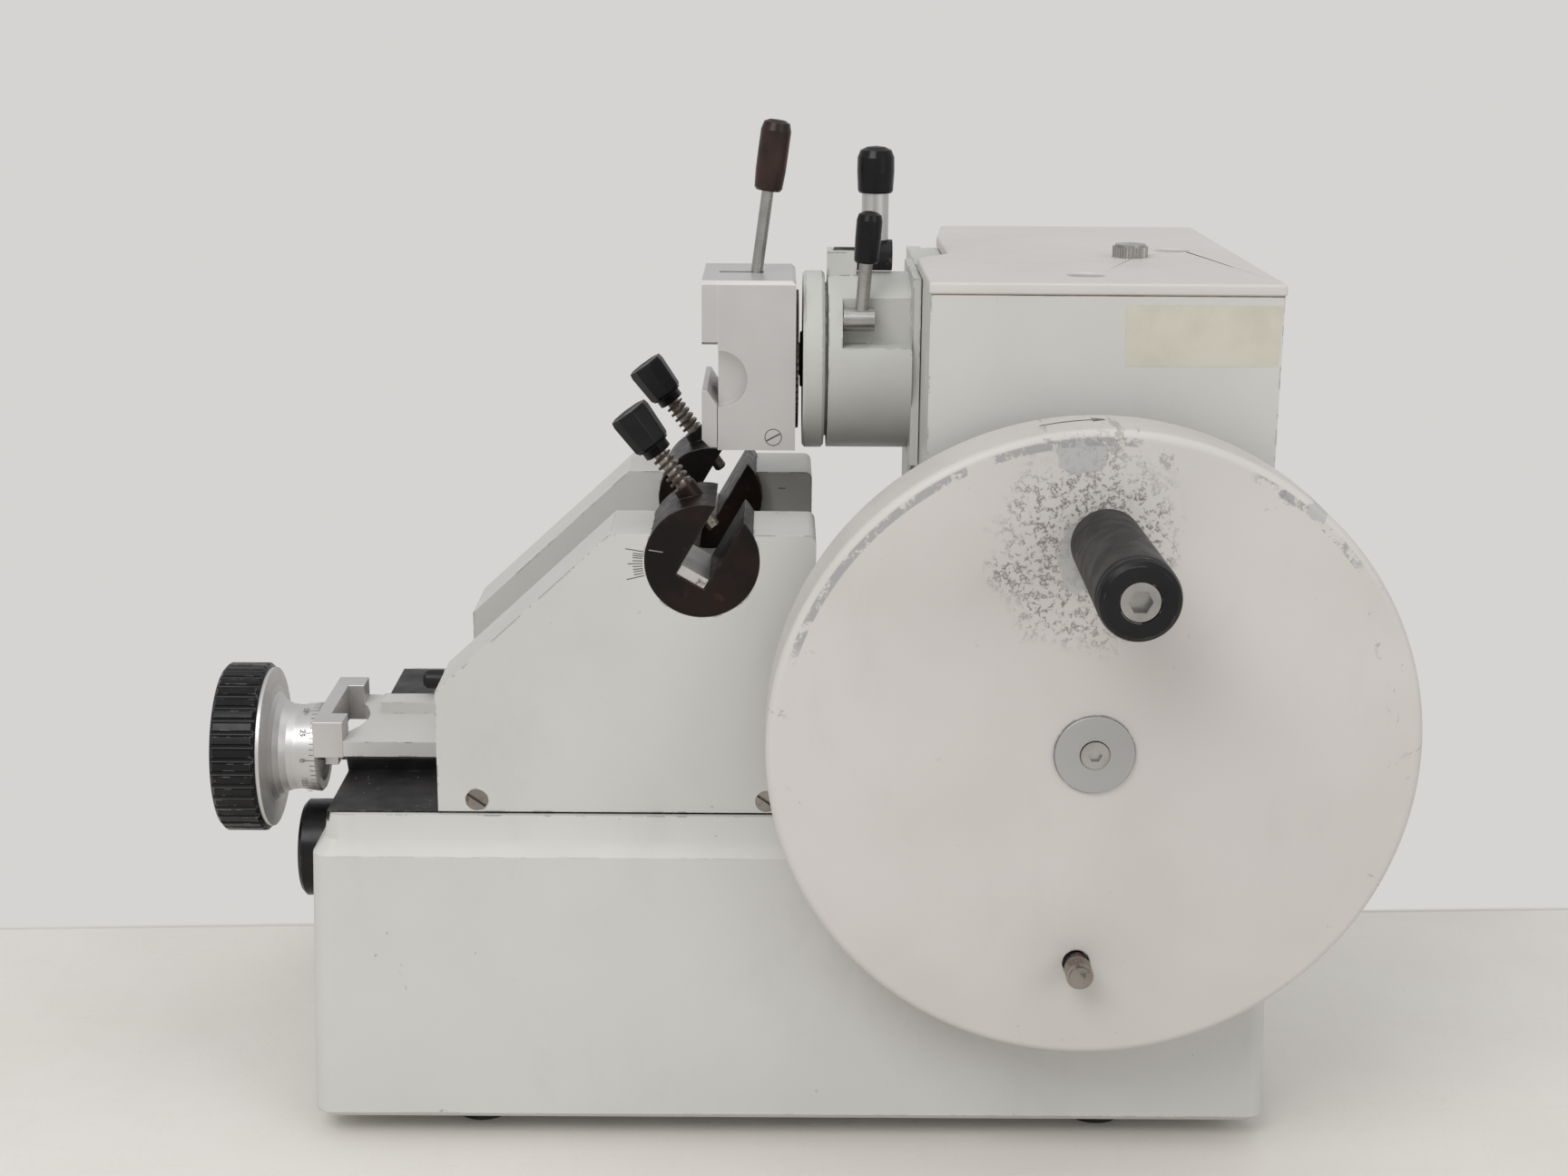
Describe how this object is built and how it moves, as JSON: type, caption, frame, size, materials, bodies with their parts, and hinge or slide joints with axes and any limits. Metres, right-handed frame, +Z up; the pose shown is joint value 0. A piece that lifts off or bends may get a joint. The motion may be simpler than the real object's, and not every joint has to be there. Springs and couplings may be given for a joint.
{
  "type": "rotary microtome",
  "caption": "Bench rotary microtome: cast base, knife carriage on a dovetail rail with micrometer feed, and a box housing whose handwheel strokes a specimen head with a cassette clamp.",
  "frame": {"origin": "on the bench under the middle of the machine's overall box", "axes": "+X runs along the base from the micrometer knob to the housing, -Y is the handwheel side, +Z is up"},
  "size_m": [0.4552, 0.3248, 0.3865],
  "materials": {
    "body_paint": "semi-gloss enamel, chipped",
    "aluminium": "satin, machined",
    "steel": "bright turned",
    "blackened_steel": "oil blackened, worn",
    "black_plate": "matt black",
    "black_plastic": "gloss, scratched",
    "handle_plastic": "worn",
    "brown_plastic": "gloss",
    "rubber": "matt"
  },
  "bodies": {
    "base": {"base_casting": "body_paint", "bottom_plate": "body_paint", "rubber_feet": "rubber", "bed_plates": "black_plate", "dovetail_rail": "black_plate", "frame_screws": "steel", "feed_nut": "steel", "housing_shell": "body_paint", "top_cover": "body_paint", "slide_guides": "blackened_steel", "bearing_housing": "aluminium", "shaft_bearings": "steel"},
    "cover_screw": {"cover_screw": "steel"},
    "handwheel": {"handwheel": "body_paint", "main_shaft": "steel", "hub_disc": "aluminium", "hub_screw": "steel", "crank_disc": "steel", "handle_bolt": "steel"},
    "crank_roller": {"crank_roller": "steel"},
    "handle": {"handle_grip": "handle_plastic", "handle_cap": "black_plastic"},
    "lock_pin": {"lock_pin": "blackened_steel"},
    "slide": {"vertical_slide": "body_paint", "slide_plate": "blackened_steel", "slide_screws": "steel", "crank_yoke": "aluminium", "head_drum": "body_paint"},
    "near_lever": {"near_lever": "steel", "near_lever_knob": "black_plastic"},
    "far_lever": {"far_lever": "aluminium", "far_lever_knob": "black_plastic"},
    "orientation": {"orientation_flange": "body_paint"},
    "clamp": {"ball_stud": "steel", "clamp_body": "aluminium", "upper_jaw": "aluminium"},
    "lower_jaw": {"lower_jaw": "aluminium"},
    "clamp_lever": {"clamp_lever": "steel", "clamp_lever_grip": "brown_plastic"},
    "carriage": {"carriage_plate": "body_paint", "near_cheek": "body_paint", "far_cheek": "body_paint", "carriage_screws": "steel", "yoke_bracket": "aluminium"},
    "carriage_lock": {"carriage_lock": "steel"},
    "micrometer": {"micrometer_grip": "black_plastic", "micrometer_dial": "aluminium", "lead_screw": "steel"},
    "knife_holder": {"knife_holder": "blackened_steel", "knife_rests": "steel", "clamp_springs": "steel"},
    "near_clamp_screw": {"near_clamp_screw": "steel", "near_clamp_knob": "blackened_steel"},
    "far_clamp_screw": {"far_clamp_screw": "steel", "far_clamp_knob": "blackened_steel"},
    "thickness": {"thickness_knob": "black_plastic", "thickness_shaft": "steel"},
    "ratchet": {"feed_ratchet": "steel"},
    "feed_arm": {"feed_arm": "steel"},
    "feed_pawl": {"feed_pawl": "blackened_steel"}
  },
  "joints": [
    {"name": "carriage_slide", "type": "slide", "parent": "base", "child": "carriage", "axis": [1, 0, 0], "range_m": [-0.045, 0]},
    {"name": "micrometer_turn", "type": "hinge", "parent": "carriage", "child": "micrometer", "pos_m": [-0.2186, 0.0419, 0.132], "axis": [1, 0, 0], "range_deg": [-6485, 5]},
    {"name": "ratchet_turn", "type": "hinge", "parent": "base", "child": "ratchet", "pos_m": [0.0744, 0.0419, 0.132], "axis": [1, 0, 0], "range_deg": [-6485, 5]},
    {"name": "feed_arm_swing", "type": "hinge", "parent": "base", "child": "feed_arm", "pos_m": [0.0794, 0.0419, 0.132], "axis": [1, 0, 0], "range_deg": [-10, 0]},
    {"name": "feed_pawl_lift", "type": "hinge", "parent": "feed_arm", "child": "feed_pawl", "pos_m": [0.0744, 0.01852, 0.1455], "axis": [1, 0, 0], "range_deg": [0, 18]},
    {"name": "thickness_turn", "type": "hinge", "parent": "base", "child": "thickness", "pos_m": [-0.1886, 0.0419, 0.088], "axis": [1, 0, 0], "range_deg": [0, 300]},
    {"name": "carriage_lock_turn", "type": "hinge", "parent": "carriage", "child": "carriage_lock", "pos_m": [-0.1226, 0.0564, 0.157], "axis": [0, 0, 1], "range_deg": [-40, 15]},
    {"name": "knife_tilt", "type": "hinge", "parent": "carriage", "child": "knife_holder", "pos_m": [-0.0304, 0.0419, 0.2306], "axis": [0, 1, 0], "range_deg": [-10, 10]},
    {"name": "near_clamp_turn", "type": "hinge", "parent": "knife_holder", "child": "near_clamp_screw", "pos_m": [-0.02623, -0.0131, 0.23882], "axis": [-0.5906, 0, 0.807], "continuous": true},
    {"name": "far_clamp_turn", "type": "hinge", "parent": "knife_holder", "child": "far_clamp_screw", "pos_m": [-0.02623, 0.0944, 0.23882], "axis": [-0.5906, 0, 0.807], "continuous": true},
    {"name": "wheel_turn", "type": "hinge", "parent": "base", "child": "handwheel", "pos_m": [0.1105, -0.0636, 0.1727], "axis": [0, 1, 0], "continuous": true},
    {"name": "handle_turn", "type": "hinge", "parent": "handwheel", "child": "handle", "pos_m": [0.1105, -0.1236, 0.2512], "axis": [0, 1, 0], "continuous": true},
    {"name": "roller_turn", "type": "hinge", "parent": "handwheel", "child": "crank_roller", "pos_m": [0.1105, 0.0664, 0.2027], "axis": [0, 1, 0], "continuous": true},
    {"name": "lock_pin_push", "type": "slide", "parent": "handwheel", "child": "lock_pin", "axis": [0, 1, 0], "range_m": [0, 0.012]},
    {"name": "head_stroke", "type": "slide", "parent": "base", "child": "slide", "axis": [0, 0, 1], "range_m": [-0.06, 0]},
    {"name": "near_lever_turn", "type": "hinge", "parent": "slide", "child": "near_lever", "pos_m": [0.0284, 0.0169, 0.312], "axis": [1, 0, 0], "range_deg": [-10, 70]},
    {"name": "far_lever_turn", "type": "hinge", "parent": "slide", "child": "far_lever", "pos_m": [0.0284, 0.0434, 0.3347], "axis": [1, 0, 0], "range_deg": [-50, 20]},
    {"name": "orientation_turn", "type": "hinge", "parent": "slide", "child": "orientation", "pos_m": [0.0114, 0.0419, 0.294], "axis": [1, 0, 0], "range_deg": [-15, 15]},
    {"name": "clamp_tilt", "type": "hinge", "parent": "orientation", "child": "clamp", "pos_m": [0.0114, 0.0419, 0.294], "axis": [0, 1, 0], "range_deg": [-3, 3]},
    {"name": "clamp_lever_turn", "type": "hinge", "parent": "clamp", "child": "clamp_lever", "pos_m": [-0.0164, 0.0419, 0.29], "axis": [0, 1, 0], "range_deg": [-17, 0]},
    {"name": "lower_jaw_slide", "type": "slide", "parent": "clamp", "child": "lower_jaw", "axis": [0, 0, 1], "range_m": [-0.0032, 0]},
    {"name": "cover_screw_turn", "type": "hinge", "parent": "base", "child": "cover_screw", "pos_m": [0.1344, 0.0464, 0.334], "axis": [0, 0, 1], "continuous": true}
  ],
  "couplings": [
    {"joint": "micrometer_turn", "follows": "carriage_slide", "rad_per_m": 2513.3},
    {"joint": "ratchet_turn", "follows": "carriage_slide", "rad_per_m": 2513.3},
    {"joint": "lower_jaw_slide", "follows": "clamp_lever_turn", "m_per_rad": 0.0101}
  ]
}
